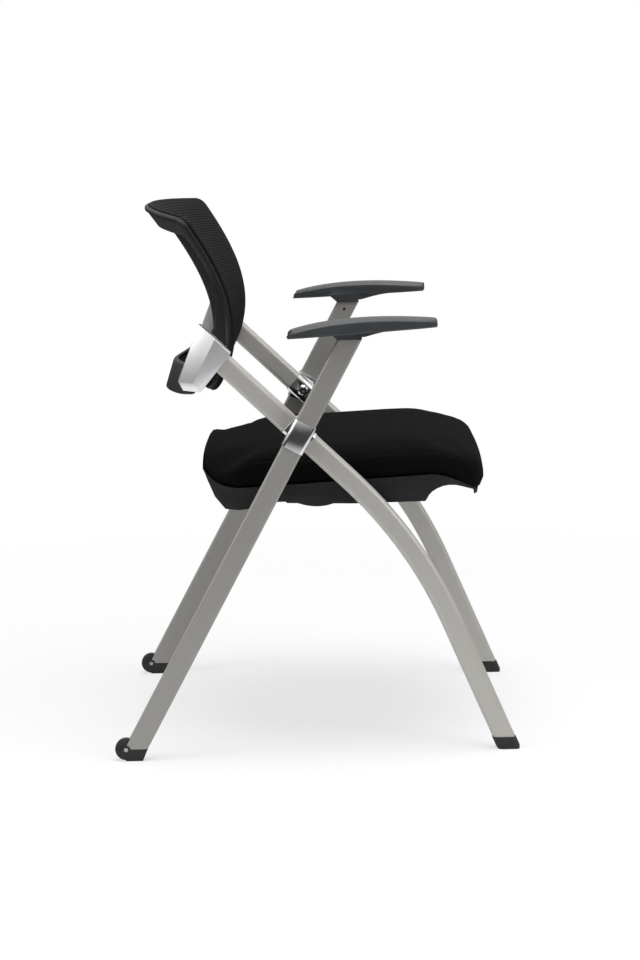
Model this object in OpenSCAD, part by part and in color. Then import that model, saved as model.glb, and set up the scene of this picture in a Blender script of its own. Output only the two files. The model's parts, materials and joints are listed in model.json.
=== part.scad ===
// Folding armchair: two leg frames crossing at the arms' pivots, a padded seat that flips up as
// the frames close, and a mesh back. X points forward, Z up, and the sides are mirrored in Y.

/* [Pivot] */
// Distance of the frames' pivot behind the middle of the footprint
pivot_back = 19; // [10:1:30]
// Height of the frames' pivot
pivot_h = 494.5; // [480:0.5:510]
// Diameter of the pivot bolts
bolt_d = 10; // [8:0.5:10]
// Angle through which the rear frame folds
fold_angle = 56; // [50:1:57]
// Seat turn for each degree of fold
flip_ratio = 0.8; // [0.74:0.01:0.86]

/* [Front frame] */
// Width of the front leg tube, seen from the side
front_tube_w = 32; // [28:1:34]
// Thickness of the front leg tube, across the chair
front_tube_t = 18; // [16:1:20]
// Gap between the back's side and the front leg tube
back_gap = 5; // [5:0.5:7]
// Slope of the tube above its bend
upper_slope = 44; // [43:0.5:45]
// Slope of the tube below its bend
lower_slope = 67; // [66:0.5:68]
// Radius of the long bend
bend_r = 665; // [620:5:700]
// Distance from the pivot to the start of the bend
bend_start = 105; // [95:1:115]
// Length of the tube above the pivot
front_tube_up = 200; // [196:1:204]
// Distance along the tube from the pivot to the cross bar under the seat
front_bar_s = 122; // [119:1:124]

/* [Rear frame] */
// Width of the rear leg tube, seen from the side
rear_tube_w = 32; // [28:1:34]
// Thickness of the rear leg tube, across the chair
rear_tube_t = 16; // [14:1:18]
// Gap between the front and the rear leg tube
leg_gap = 14; // [13:0.5:17]
// Lean of the rear leg tube from the vertical
rear_lean = 28.5; // [28:0.5:29]
// Height of the tube's top over the pivot
arm_up = 144.5; // [130:0.5:155]
// Distance along the tube from the pivot to the cross bar under the seat
rear_bar_s = 109; // [107:1:112]
// Offset of that bar to the rear of the tube's middle
rear_bar_back = 7; // [5:0.5:8]

/* [Tubes and bars] */
// Wall of the leg tubes
tube_wall = 1.6; // [1.2:0.1:2.5]
// Corner radius of the front leg tube
front_corner = 7.5; // [6:0.5:8.5]
// Corner radius of the rear leg tube
rear_corner = 4; // [3:0.5:5]
// Diameter of both cross bars
bar_d = 12; // [10:0.5:13]

/* [Seat] */
// Gap between the seat's side and the front leg tube
seat_gap = 8; // [7:0.5:12]
// Distance from the middle of the footprint to the front of the cushion
seat_front = 268; // [255:1:280]
// Distance from the middle of the footprint to the back of the cushion
seat_rear = 175; // [170:1:180]
// Height of the seam between pan and cushion over the rest pads, at the middle of the footprint
seam_up = 5.45; // [5:0.05:7]
// Height of the cushion's crown over the seam
cushion_up = 59; // [46:1:66]
// Wall of the seat pan
pan_wall = 3.5; // [2.5:0.5:5]
// Thickness of the pan's deck
deck_t = 3; // [2.5:0.5:4]

/* [Back] */
// Distance of the back's top corners behind the pivot
back_reach = 160; // [150:1:170]
// Height of the back's top corners over the pivot
back_rise = 330; // [315:1:340]
// Half the width of the back
back_half_w = 225; // [215:1:226]
// How far the top of the back curves behind its corners
top_hollow = 68; // [50:1:75]
// How far the bottom of the back curves behind its corners
low_hollow = 34; // [25:1:40]
// How far the middle of the top edge stands above its corners
top_crown = 9; // [0:1:15]
// Thickness of the mesh
mesh_t = 1.2; // [0.8:0.1:2]
// Depth of the mesh's carrier frame
carrier_depth = 7; // [6.5:0.5:9]
// Depth of the shell behind the carrier, low on its sides
shell_depth = 36; // [30:1:40]
// Radius of the back's corners
back_corner = 15; // [12:1:24]

/* [Armrests] */
// Length of an armrest
pad_len = 222; // [200:1:240]
// Width of an armrest
pad_w = 45; // [38:1:50]
// Thickness of an armrest at its ends
pad_t = 12; // [10:0.5:16]
// Angle by which the armrests turn in toward the front
pad_toe = 6; // [2:0.5:8]

/* [Feet] */
// Radius of the rear rollers
roller_r = 17; // [15:0.5:18]
// Height of the front caps
cap_h = 19; // [15:0.5:25]
// Height of the rear shoes' soles
shoe_h = 18.5; // [16:0.5:22]

/* [Hidden] */

$fn = 64;
// Overrun of every cut past the face that it opens
cut = 1;
// Gap between pieces that are fixed to each other along a curved face
snug = 0.05;
// Radial running clearance of a shaft in its bore
running = 0.06;
// Gap between pieces that pass each other
free_gap = 0.4;
// Gap between a piece and the seat that it is screwed or clipped to
mount_gap = 0.3;

paint_colour = [0.62, 0.61, 0.59];
chrome_colour = [0.82, 0.83, 0.85];
black_colour = [0.10, 0.10, 0.11];
fabric_colour = [0.05, 0.05, 0.06];
mesh_colour = [0.13, 0.13, 0.14];
rubber_colour = [0.16, 0.16, 0.16];
steel_colour = [0.55, 0.56, 0.58];
nylon_colour = [0.13, 0.13, 0.13];

// Flat vectors here hold [x, z], and turn2 turns them from X toward Z.
function turn2(v, a) = [v[0] * cos(a) - v[1] * sin(a), v[0] * sin(a) + v[1] * cos(a)];
function mix(a, b, t) = a + (b - a) * t;
function unit(v) = v / norm(v);

front_plane = back_half_w + back_gap + front_tube_t / 2;
rear_plane = front_plane + (front_tube_t + rear_tube_t) / 2 + leg_gap;
seat_half_w = front_plane - front_tube_t / 2 - seat_gap;
arm_h = pivot_h + arm_up;

pivot = [-pivot_back, pivot_h];
up_dir = [cos(upper_slope), -sin(upper_slope)];
bend_turn = lower_slope - upper_slope;
bend_from = pivot + bend_start * up_dir;
bend_centre = bend_from - bend_r * [sin(upper_slope), cos(upper_slope)];
bend_to = bend_centre + bend_r * [sin(lower_slope), cos(lower_slope)];
front_end_z = cap_h / 3;
front_end_len = (bend_to[1] - front_end_z) / sin(lower_slope) + front_tube_w;

function front_normal(s) = let (a = s < bend_start ? 0 : (s - bend_start) / bend_r * 180 / PI)
    [sin(upper_slope + a), cos(upper_slope + a)];
function front_point(s) = s < bend_start ? pivot + s * up_dir : bend_centre + bend_r * front_normal(s);

rear_dir = [-sin(rear_lean), -cos(rear_lean)];
rear_back = [-cos(rear_lean), sin(rear_lean)];
function rear_point(s) = pivot + s * rear_dir;

front_bar = front_point(front_bar_s);
rear_bar = rear_point(rear_bar_s) + rear_bar_back * rear_back;
bar_r = bar_d / 2;
bolt_r = bolt_d / 2;
rest_t = 1;
rim_h = rear_bar[1] + bar_r + rest_t + seam_up;
crown_h = rim_h + cushion_up;

// Where the rear bar lies in the seat's own frame, after the rear frame has folded by p degrees
function bar_path(p) = front_bar + turn2(pivot + turn2(rear_bar - pivot, p) - front_bar, flip_ratio * p);
function path_side(p) = let (d = unit(bar_path(p + 0.5) - bar_path(p - 0.5))) [-d[1], d[0]];
function path_end(p, r, from, steps) = let (n = path_side(p))
    [for (i = [1:steps - 1]) bar_path(p) + r * turn2(n, from - 180 * i / steps)];
function path_band(p0, p1, r, steps) = concat(
    [for (i = [0:steps]) let (p = mix(p0, p1, i / steps)) bar_path(p) + r * path_side(p)],
    path_end(p1, r, 0, 8),
    [for (i = [steps:-1:0]) let (p = mix(p0, p1, i / steps)) bar_path(p) - r * path_side(p)],
    path_end(p0, r, 180, 8));

// Points round a rectangle with round corners, from the middle of its right side, as [x, y]
function round_loop(hx, hy, rx, ry, side, corner) = concat(
    [for (i = [0:side / 2 - 1]) [hx, (hy - ry) * 2 * i / side]],
    [for (i = [0:corner - 1]) let (a = 90 * i / corner) [hx - rx + rx * cos(a), hy - ry + ry * sin(a)]],
    [for (i = [0:side - 1]) [(hx - rx) * (1 - 2 * i / side), hy]],
    [for (i = [0:corner - 1]) let (a = 90 + 90 * i / corner)
        [-hx + rx + rx * cos(a), hy - ry + ry * sin(a)]],
    [for (i = [0:side - 1]) [-hx, (hy - ry) * (1 - 2 * i / side)]],
    [for (i = [0:corner - 1]) let (a = 180 + 90 * i / corner)
        [-hx + rx + rx * cos(a), -hy + ry + ry * sin(a)]],
    [for (i = [0:side - 1]) [(hx - rx) * (2 * i / side - 1), -hy]],
    [for (i = [0:corner - 1]) let (a = 270 + 90 * i / corner)
        [hx - rx + rx * cos(a), -hy + ry + ry * sin(a)]],
    [for (i = [side / 2:-1:1]) [hx, -(hy - ry) * 2 * i / side]]);

front_inner = front_plane - front_tube_t / 2;
front_outer = front_plane + front_tube_t / 2;
rear_inner = rear_plane - rear_tube_t / 2;
rear_outer = rear_plane + rear_tube_t / 2;

// An outline in [x, z] given a thickness across the chair, between two places in Y
module across(y0, y1) {
    translate([0, y1, 0]) rotate([90, 0, 0]) linear_extrude(y1 - y0) children();
}

module rod(at, r, y0, y1) {
    translate([at[0], y1, at[1]]) rotate([90, 0, 0]) cylinder(h = y1 - y0, r = r);
}

module rounded(w, t, r) {
    square([w - 2 * r, t], center = true);
    square([w, t - 2 * r], center = true);
    for (i = [-1, 1], j = [-1, 1]) translate([i * (w / 2 - r), j * (t / 2 - r)]) circle(r);
}

module left() {
    mirror([0, 1, 0]) children();
}

module both() {
    children();
    left() children();
}

// The right side lies at negative Y.
module along_front(s, plane = front_plane) {
    translate([front_point(s)[0], -plane, front_point(s)[1]]) rotate([0, 90 + upper_slope, 0]) children();
}

module along_rear(s) {
    translate([rear_point(s)[0], -rear_plane, rear_point(s)[1]]) rotate([0, 180 + rear_lean, 0]) children();
}

module front_profile(extra) {
    rounded(front_tube_w + 2 * extra, front_tube_t + 2 * extra, front_corner + extra);
}

module rear_profile(extra) {
    rounded(rear_tube_w + 2 * extra, rear_tube_t + 2 * extra, rear_corner + extra);
}

// The run of the front leg tube: a straight, the long bend and a straight, of any profile
module front_run() {
    along_front(-front_tube_up) linear_extrude(front_tube_up + bend_start) children();
    translate([bend_centre[0], -front_plane, bend_centre[1]])
        rotate([0, upper_slope - 90, 0])
            rotate([-90, 0, 0])
                rotate_extrude(angle = bend_turn, $fn = 360) translate([bend_r, 0]) children();
    translate([bend_to[0], -front_plane, bend_to[1]])
        rotate([0, 90 + lower_slope, 0])
            linear_extrude(front_end_len) children();
}

// A ring inside the tube's wall, across the place where two stretches of the tube meet
module front_weld(at, slope) {
    translate([at[0], -front_plane, at[1]]) rotate([0, 90 + slope, 0])
        translate([0, 0, -tube_wall]) linear_extrude(2 * tube_wall) difference() {
            front_profile(-tube_wall / 5);
            front_profile(-tube_wall * 0.8);
        }
}

module slab(z0, z1, size) {
    translate([-size / 2, -size / 2, z0]) cube([size, size, z1 - z0]);
}

span = 4 * rear_plane + 2 * pivot_h;

/* Front frame */

module front_leg() {
    color(paint_colour) difference() {
        union() {
            front_run() difference() {
                front_profile(0);
                front_profile(-tube_wall);
            }
            front_weld(bend_from, upper_slope);
            front_weld(bend_to, lower_slope);
        }
        slab(-span, front_end_z, span);
        rod(pivot, bolt_r + snug, -front_outer - cut, -front_inner + cut);
    }
}

module front_cross_bar() {
    color(paint_colour) rod(front_bar, bar_r, -front_inner, front_inner);
}

sleeve_len = 42;
sleeve_t = 1.5;
module leg_sleeve() {
    color(chrome_colour) difference() {
        along_front(-sleeve_len / 2) linear_extrude(sleeve_len) front_profile(sleeve_t);
        along_front(-sleeve_len) linear_extrude(2 * sleeve_len) front_profile(snug);
        rod(pivot, bolt_r + snug, -front_outer - front_tube_t, -front_inner + front_tube_t);
    }
}

head_h = 3.5;
head_r = 9;
bush_r = 8;
flange_r = 11;
flange_t = 2;
collar_t = 2;
sleeve_inner = front_inner - sleeve_t;
sleeve_outer = front_outer + sleeve_t;
bush_out = rear_inner - collar_t - flange_t;
bush_in = rear_plane - rear_tube_t / 6;
nut_t = 6;
nut_r = 8.5;
bolt_end = bush_in + free_gap + nut_t + bolt_r / 5;

module pivot_bolt() {
    rod(pivot, bolt_r, -bolt_end, -sleeve_inner);
    translate([pivot[0], -sleeve_inner, pivot[1]]) rotate([-90, 0, 0]) difference() {
        cylinder(h = head_h, r1 = head_r, r2 = head_r * 0.7);
        translate([0, 0, head_h / 2]) cylinder(h = head_h, r = bolt_r / 2, $fn = 6);
    }
}

module pivot_bolts() {
    color(chrome_colour) both() pivot_bolt();
}

module pivot_nuts() {
    color(steel_colour) both() translate([pivot[0], -bush_in - free_gap, pivot[1]]) rotate([90, 0, 0])
        difference() {
            cylinder(h = nut_t, r = nut_r, $fn = 6);
            translate([0, 0, -cut]) cylinder(h = nut_t + 2 * cut, r = bolt_r + snug);
        }
}

module pivot_washers() {
    color(nylon_colour) both() difference() {
        rod(pivot, flange_r, -bush_out, -sleeve_outer);
        rod(pivot, bolt_r + snug, -bush_out - cut, -sleeve_outer + cut);
    }
}

// The front caps follow the tube, with their sole's edges bevelled.
cap_t = 0.9;
cap_bevel = 5;
cap_half = (front_tube_w / 2 + cap_t) / sin(lower_slope);
function front_x(z) = bend_to[0] + (bend_to[1] - z) / tan(lower_slope);
cap_outline = [[front_x(cap_h) - cap_half, cap_h], [front_x(cap_h) + cap_half, cap_h],
    [front_x(cap_bevel) + cap_half, cap_bevel], [front_x(0) + cap_half - 0.55 * cap_bevel, 0],
    [front_x(0) - cap_half + 0.3 * cap_bevel, 0], [front_x(cap_bevel) - cap_half, cap_bevel]];
module front_cap() {
    color(rubber_colour) difference() {
        intersection() {
            front_run() front_profile(cap_t);
            across(-front_outer - cap_t, -front_inner + cap_t) polygon(cap_outline);
        }
        difference() {
            front_run() front_profile(snug);
            slab(-span, front_end_z - snug, span);
        }
    }
}

// The bracket's corners: the place along the tube above the pivot in shares of the tube's length,
// the place square to it in shares of its width, and the outer face in shares of its thickness
bracket_shares = [[1.105, 0.56, 0.39], [0.946, 0.61, 0.94], [0.79, 0.57, 0.61], [0.783, -0.58, 0.61],
    [0.758, -1.7, 0.56], [0.8585, -2.2, 0.22], [0.8425, -1.59, 0.83], [0.932, -2.04, 0.17]];
bracket_in = back_half_w + mount_gap;

module back_bracket() {
    color(chrome_colour) difference() {
        hull() for (c = bracket_shares) {
            at = pivot - c[0] * front_tube_up * up_dir
                + c[1] * front_tube_w * [sin(upper_slope), cos(upper_slope)];
            out = front_plane + c[2] * front_tube_t;
            translate([at[0], -out, at[1]]) cube([cut, out - bracket_in, cut]);
        }
        along_front(-front_tube_up - snug) linear_extrude(front_tube_up) front_profile(snug);
    }
}

/* Back */

// The side edge of the back is one curve through these places, in shares of its reach and rise.
side_shares = [[0.769, 0.183], [0.3625, 0.471], [0.623, 0.729], [1, 1]];
function side_place(i) = pivot + [-side_shares[i][0] * back_reach, side_shares[i][1] * back_rise];
function side_curve(v) = let (w = 1 - v) w * w * w * side_place(0) + 3 * w * w * v * side_place(1)
    + 3 * w * v * v * side_place(2) + v * v * v * side_place(3);
function back_surface(u, v) = let (p = side_curve(v), k = 1 - u * u)
    [p[0] - mix(low_hollow, top_hollow, v) * k, back_half_w * u, p[1] + top_crown * v * v * k];
function back_normal(u, v) = let (e = 0.01)
    unit(cross(back_surface(u + e, v) - back_surface(u - e, v),
        back_surface(u, v + e) - back_surface(u, v - e)));

back_height = norm(side_place(3) - side_place(0));
// The outline of the back in u and v, drawn in by a distance
function edge_loop(in) = let (r = max(back_corner - in, back_corner / 4))
    [for (p = round_loop(1 - in / back_half_w, 1 - 2 * in / back_height, r / back_half_w,
        2 * r / back_height, 10, 5)) [p[0], 0.5 + 0.5 * p[1]]];
back_loop = edge_loop(0);
back_steps = len(back_loop);
// Depth is measured square to the side edge, so the back's sides stay upright.
function depth_dir(u, v) = let (n = back_normal(u, v)) unit([n[0], 0, n[2]]);
function back_place(q, back) = back_surface(q[0], q[1]) - back * depth_dir(q[0], q[1]);
// A section carried round the edge of the back: each of its places is given by its distance inward,
// its distance back, and a share of the shell's depth
function edge_sweep(section) = let (loops = [for (s = section) edge_loop(s[0])])
    [for (i = [0:back_steps - 1]) [for (k = [0:len(section) - 1])
        back_place(loops[k][i], section[k][1] + section[k][2] * shell_back(i))]];
function edge_ring(in, back) = [for (q = edge_loop(in)) back_place(q, back)];
function panel_point(i, k, back) = let (p = back_loop[i])
    back_place([p[0] * k, 0.5 + (p[1] - 0.5) * k], back);

// Rings of points joined into one closed tube: the last ring joins the first
module closed_sweep(rings) {
    n = len(rings);
    m = len(rings[0]);
    polyhedron(points = [for (r = rings) each r],
        faces = [for (i = [0:n - 1], j = [0:m - 1], h = [0, 1])
            let (a = i * m + j, b = i * m + (j + 1) % m, c = ((i + 1) % n) * m + (j + 1) % m,
                d = ((i + 1) % n) * m + j) h == 0 ? [a, b, c] : [a, c, d]]);
}

lip = 3;
bead_w = 6;
bead_out = 1.2;
shell_in = 18;
// The shell's sides are deepest at the hips. They draw in toward the top, and along the bottom,
// in front of the hand slot.
foot_share = 0.33;
top_share = 0.49;
function shell_back(i) = let (v = back_loop[i][1], t = max(0, min(1, 2 * v - 0.56)))
    shell_depth * min(1, foot_share + 3.1 * v) * mix(1, top_share, t * t * (3 - 2 * t));

module back_shell() {
    b = carrier_depth + 2 * mount_gap;
    color(black_colour) closed_sweep(edge_sweep([[bead_out, b - lip, 1],
        [bead_out, b + bead_w + bead_out, 0], [0, b + bead_w, 0], [0, b, 0],
        [shell_in - lip, b, 0], [shell_in - lip, b + lip, 0],
        [bead_out + lip, b + lip, 0], [2 * lip + bead_out, b - 1.5 * lip, 1], [shell_in, b - lip, 1],
        [shell_in, b, 1], [lip + bead_out, b, 1]]));
}

carrier_in = 16;
module back_mesh_frame() {
    o = 2 * mesh_t;
    f = mesh_t + 2 * mount_gap;
    color(black_colour) closed_sweep(edge_sweep([[o, carrier_depth, 0], [o, 0.8 * carrier_depth, 0],
        [o + 1.7 * mesh_t, carrier_depth / 2, 0], [o + 4 * mesh_t, f, 0], [carrier_in - 2 * mesh_t, f, 0],
        [carrier_in, f + mesh_t, 0], [carrier_in, carrier_depth, 0]]));
}

panel_shares = [0.82, 0.6, 0.36, 0.14];
module back_mesh() {
    n = back_steps;
    fronts = concat([edge_ring(mesh_t, carrier_depth - mesh_t), edge_ring(mesh_t, 0.62 * carrier_depth),
        edge_ring(2.5 * mesh_t, carrier_depth / 4), edge_ring(6 * mesh_t, 0)],
        [for (k = panel_shares) [for (i = [0:n - 1]) panel_point(i, k, 0)]]);
    backs = concat([edge_ring(1.9 * mesh_t, carrier_depth - mesh_t),
        edge_ring(1.9 * mesh_t, 0.7 * carrier_depth), edge_ring(3.3 * mesh_t, 0.36 * carrier_depth),
        edge_ring(6.3 * mesh_t, mesh_t)],
        [for (k = panel_shares) [for (i = [0:n - 1]) panel_point(i, k, mesh_t)]]);
    rings = concat([for (i = [len(backs) - 1:-1:0]) backs[i]], fronts);
    m = len(rings);
    centre = m * n;
    color(mesh_colour) polyhedron(
        points = concat([for (r = rings) each r], [panel_point(0, 0, mesh_t), panel_point(0, 0, 0)]),
        faces = concat(
            [for (i = [0:m - 2], j = [0:n - 1], h = [0, 1])
                let (a = i * n + j, b = i * n + (j + 1) % n, c = (i + 1) * n + (j + 1) % n,
                    d = (i + 1) * n + j) h == 0 ? [a, c, b] : [a, d, c]],
            [for (j = [0:n - 1]) [centre, j, (j + 1) % n]],
            [for (j = [0:n - 1]) [centre + 1, (m - 1) * n + (j + 1) % n, (m - 1) * n + j]]));
}

// The handle is one bow behind the foot of the back, from bracket to bracket: its middle stands
// furthest back and hangs lowest.
handle_h = 47;
handle_wall = 9.5;
handle_reach = 92;
handle_bow = 50;
handle_sag = 17.5;
handle_tilt = 17.5;
handle_bevel = 2.5;
handle_steps = 32;
handle_foot = side_place(0);
// The share of the bow at a share of the half width: nearly straight arms and a round middle
function bow_share(u) = (sqrt(u * u + 0.04) - 0.2) / (sqrt(1.04) - 0.2);
function handle_ring(u) = let (w = handle_wall, h = handle_h, b = handle_bevel,
    x = handle_foot[0] - handle_reach + handle_bow * bow_share(u),
    z = handle_foot[1] - handle_sag * (1 - u * u))
    [for (p = [[b, 0], [w - b, 0], [w, b], [w, h - b], [w - b, h], [b, h], [0, h - b], [0, b]])
        [x + p[0] + p[1] * tan(handle_tilt), u * back_half_w, z + p[1]]];

module back_handle() {
    n = handle_steps;
    m = len(handle_ring(0));
    color(black_colour) polyhedron(points = [for (i = [0:n]) each handle_ring(2 * i / n - 1)],
        faces = concat(
        [for (i = [0:n - 1], j = [0:m - 1], h = [0, 1])
            let (a = i * m + j, b = i * m + (j + 1) % m, c = (i + 1) * m + (j + 1) % m, d = (i + 1) * m + j)
            h == 0 ? [a, b, c] : [a, c, d]],
        [[for (j = [m - 1:-1:0]) j]], [[for (j = [0:m - 1]) n * m + j]]));
}

/* Rear frame */

module rear_leg() {
    color(paint_colour) difference() {
        intersection() {
            along_rear(-span / 2) linear_extrude(span) rear_profile(0);
            slab(shoe_h, arm_h, span);
        }
        along_rear(-span / 2) linear_extrude(span) rear_profile(-tube_wall);
        rod(pivot, bush_r + snug, -rear_plane, -rear_inner + cut);
        rod(roller_at, roller_r + free_gap, -rear_outer + tube_wall, -rear_inner - tube_wall);
        rod(roller_at, shoe_boss_r + snug, -rear_outer - cut, -rear_inner + cut);
        rod(arm_screw_at, arm_screw_r + snug, -rear_plane, -rear_inner + cut);
    }
}

module rear_cross_bar() {
    color(paint_colour) rod(rear_bar, bar_r, -rear_inner, rear_inner);
}

collar_len = 45;
module leg_collar() {
    color(chrome_colour) difference() {
        along_rear(-collar_len / 2) linear_extrude(collar_len) rear_profile(collar_t);
        along_rear(-collar_len) linear_extrude(2 * collar_len) rear_profile(snug);
        rod(pivot, bush_r + snug, -rear_plane, -rear_inner + front_tube_t);
    }
}

module pivot_bushes() {
    color(nylon_colour) both() difference() {
        union() {
            rod(pivot, bush_r, -bush_in, -bush_out);
            rod(pivot, flange_r, -bush_out - flange_t, -bush_out);
        }
        rod(pivot, bolt_r + running, -bush_in - cut, -bush_out + cut);
    }
}

// Armrests: the places are measured from the tube's top, along the pad.
pad_back = 93;
pad_out = 13;
pad_rise = 11;
pad_arch = 11;
pad_lift = 6;
pad_bevel = 4.5;
pad_slant = 6;
pad_steps = 24;
arm_top = rear_point(-(arm_h - pivot_h) / cos(rear_lean));
arm_screw_r = 2.4;
arm_screw_at = rear_point(-(arm_h - pivot_h - 5 * arm_screw_r) / cos(rear_lean));

function pad_low(t) = pad_lift + pad_rise * t;
function pad_high(t) = pad_low(t) + pad_t + pad_arch * 4 * t * (1 - t) * (1 - 0.35 * t);
function pad_half(t) = pad_w / 2 * (1 - 0.12 * pow(2 * t - 1, 4)) * sqrt(1 - 0.3 * pow(2 * t - 1, 12));
function pad_ring(t) = let (w = pad_half(t), lo = pad_low(t), hi = pad_high(t), b = pad_bevel,
    shift = pad_slant * (1 - t) * (1 - t), x = mix(-pad_back, pad_len - pad_back, t))
    [[x, -w + b / 2, lo], [x, w - b / 2, lo], [x + shift / 3, w, lo + b / 2], [x + shift / 2, w, hi - b],
        [x + shift, w - b / 2, hi - b / 3], [x + shift, w - 2 * b, hi], [x + shift, -w + 2 * b, hi],
        [x + shift, -w + b / 2, hi - b / 3], [x + shift / 2, -w, hi - b], [x + shift / 3, -w, lo + b / 2]];

module pad_body() {
    n = pad_steps;
    m = len(pad_ring(0));
    polyhedron(points = [for (i = [0:n]) each pad_ring(0.5 - 0.5 * cos(180 * i / n))], faces = concat(
        [for (i = [0:n - 1], j = [0:m - 1], h = [0, 1])
            let (a = i * m + j, b = i * m + (j + 1) % m, c = (i + 1) * m + (j + 1) % m, d = (i + 1) * m + j)
            h == 0 ? [a, c, b] : [a, d, c]],
        [[for (j = [0:m - 1]) j]], [[for (j = [m - 1:-1:0]) n * m + j]]));
}

// The block under the pad: bevelled behind, with a step and a long sweep in front
block_side = 3;
block_w = rear_tube_t + 2 * block_side;
block_rear = 14;
block_step = 4;
block_sink = 3;
block_half = rear_tube_w / 2 / cos(rear_lean);
block_sweep = 58;
block_outline = concat([[-block_half - block_rear, pad_low(0.35) + block_sink], [-block_half, 0],
    [block_half, 0], [block_half, block_step], [block_half + block_step, block_step]],
    [for (i = [1:8]) [block_half + block_step + block_sweep * i / 8,
        mix(block_step, pad_low(0.75), sin(90 * i / 8))]],
    [[block_half + block_sweep, pad_low(0.7) + block_sink]]);
plug_len = 30;

module armrest() {
    color(black_colour) {
        translate([arm_top[0], -rear_plane - pad_out, arm_h]) rotate([0, 0, pad_toe]) pad_body();
        translate([arm_top[0], 0, arm_h]) across(-rear_plane - block_w / 2, -rear_plane + block_w / 2)
            polygon(block_outline);
        intersection() {
            difference() {
                along_rear(-span / 2) linear_extrude(span) rear_profile(-tube_wall - snug);
                rod(arm_screw_at, arm_screw_r + snug, -rear_plane, -rear_inner + cut);
            }
            slab(arm_h - plug_len, arm_h + cut, span);
        }
    }
}

module armrest_screws() {
    color(steel_colour) both() rod(arm_screw_at, arm_screw_r, -rear_plane, -rear_inner - tube_wall / 2);
}

// Feet
roller_lift = 0.6;
roller_rear = 15;
roller_gap = 1.2;
axle_r = 3;
shoe_boss_r = 7;
cheek_in = 1.5;
cheek_r = roller_r - cheek_in;
roller_bevel = 1;
rear_foot = rear_point((pivot_h - shoe_h) / cos(rear_lean));
roller_at = [rear_foot[0] - roller_rear, roller_r + roller_lift];
roller_half = rear_tube_t / 2 - tube_wall - roller_gap;
sole_front = rear_foot[0] + rear_tube_w / 2 / cos(rear_lean);
sole_slant = 8;
shoe_plug = 34;

module rear_shoe() {
    color(rubber_colour) difference() {
        union() {
            intersection() {
                across(-rear_outer, -rear_inner) union() {
                    translate(roller_at) circle(cheek_r);
                    polygon([[roller_at[0], 0], [sole_front - sole_slant, 0], [sole_front, shoe_h],
                        [roller_at[0] - cheek_r / 2, shoe_h], [roller_at[0] - cheek_r / 2, cheek_r]]);
                }
                slab(0, shoe_h, span);
            }
            rod(roller_at, shoe_boss_r, -rear_outer, -rear_inner);
            intersection() {
                along_rear(-span / 2) linear_extrude(span) rear_profile(-tube_wall - snug);
                slab(shoe_h, shoe_h + shoe_plug, span);
            }
        }
        rod(roller_at, roller_r + free_gap, -rear_plane - roller_half - free_gap,
            -rear_plane + roller_half + free_gap);
        rod(roller_at, axle_r + snug, -rear_outer - cut, -rear_inner + cut);
    }
}

module roller() {
    color(rubber_colour) difference() {
        translate([roller_at[0], -rear_plane, roller_at[1]]) rotate([90, 0, 0]) rotate_extrude()
            polygon([[0, -roller_half], [roller_r - 2 * roller_bevel, -roller_half],
                [roller_r, roller_bevel - roller_half], [roller_r, roller_half - roller_bevel],
                [roller_r - 2 * roller_bevel, roller_half], [0, roller_half]]);
        rod(roller_at, axle_r + running, -rear_outer, -rear_inner);
    }
}

module roller_axles() {
    color(steel_colour) both() rod(roller_at, axle_r, -rear_outer, -rear_inner);
}

/* Seat */

// The seam between pan and cushion slopes up to the front, rises behind and falls in front.
rim_slope_share = 0.055;
rear_rise = 39;
rear_rise_run = 77;
rear_rise_from = seat_rear - rear_rise_run;
front_fall = 25;
front_fall_run = 65;
front_fall_from = seat_front - 1.3 * front_fall_run;
function rim(x) = rim_h + rim_slope_share * x
    + rear_rise * pow(max(0, (-rear_rise_from - x) / rear_rise_run), 2)
    - front_fall * pow(max(0, (x - front_fall_from) / front_fall_run), 2);

pan_inset = 2;
pan_front_in = 12;
pan_rear_in = 2;
pan_front = seat_front - pan_front_in;
pan_rear = seat_rear - pan_rear_in;
skirt_depth = 31;
rim_points = 44;
function rim_line(drop, x0, x1) = [for (i = [0:rim_points])
    let (x = mix(x0, x1, i / rim_points)) [x, rim(x) - drop]];
// The skirt's lower edge, from the front lip over the arch to the low rear corner, in shares of
// the seat's reach and of the skirt's depth
lip_drop = 10;
skirt_shares = [[0.912, 0.62], [0.884, 0.5], [0.848, 0.37], [0.814, 0.27], [0.774, 0.23], [0.735, 0.27],
    [0.701, 0.39], [0.673, 0.54], [0.655, 0.71], [0.645, 0.88], [0.634, 1], [0.224, 1.045], [-0.149, 0.968],
    [-0.157, 0.903], [-0.231, 0.903], [-0.246, 1.1], [-0.418, 1.28], [-0.5, 1.24], [-0.56, 0.68]];
skirt_edge = concat([[pan_front - lip_drop / 10, rim(pan_front) - lip_drop / 5],
    [pan_front - lip_drop / 2, rim(pan_front) - lip_drop],
    [pan_front - lip_drop, rim(pan_front) - lip_drop]],
    [for (p = skirt_shares) [p[0] * seat_front, rim_h - p[1] * skirt_depth]],
    [[-pan_rear, rim(-pan_rear) - lip_drop / 5]]);

// The seat's outline bows out a little on every side.
seat_bow_share = 0.025;
seat_corner = 58;
function bowed(p, hx, hy) = [p[0] * (1 - seat_bow_share * pow(p[1] / hy, 2)),
    p[1] * (1 - seat_bow_share / 2 * pow(p[0] / hx, 2))];
function seat_loop(hx, hy, r) = [for (p = round_loop(hx, hy, r, r, 10, 6)) bowed(p, hx, hy)];

module plan_outline(inset) {
    translate([(pan_front - pan_rear) / 2, 0])
        polygon(seat_loop((pan_front + pan_rear) / 2 - inset, seat_half_w - pan_inset - inset,
            seat_corner - inset));
}

bearing_in = 72;
bearing_y = seat_half_w - bearing_in;
bearing_w = 34;
bearing_half = 20;
cam_t = 4;
cam_wall = 5;

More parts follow.
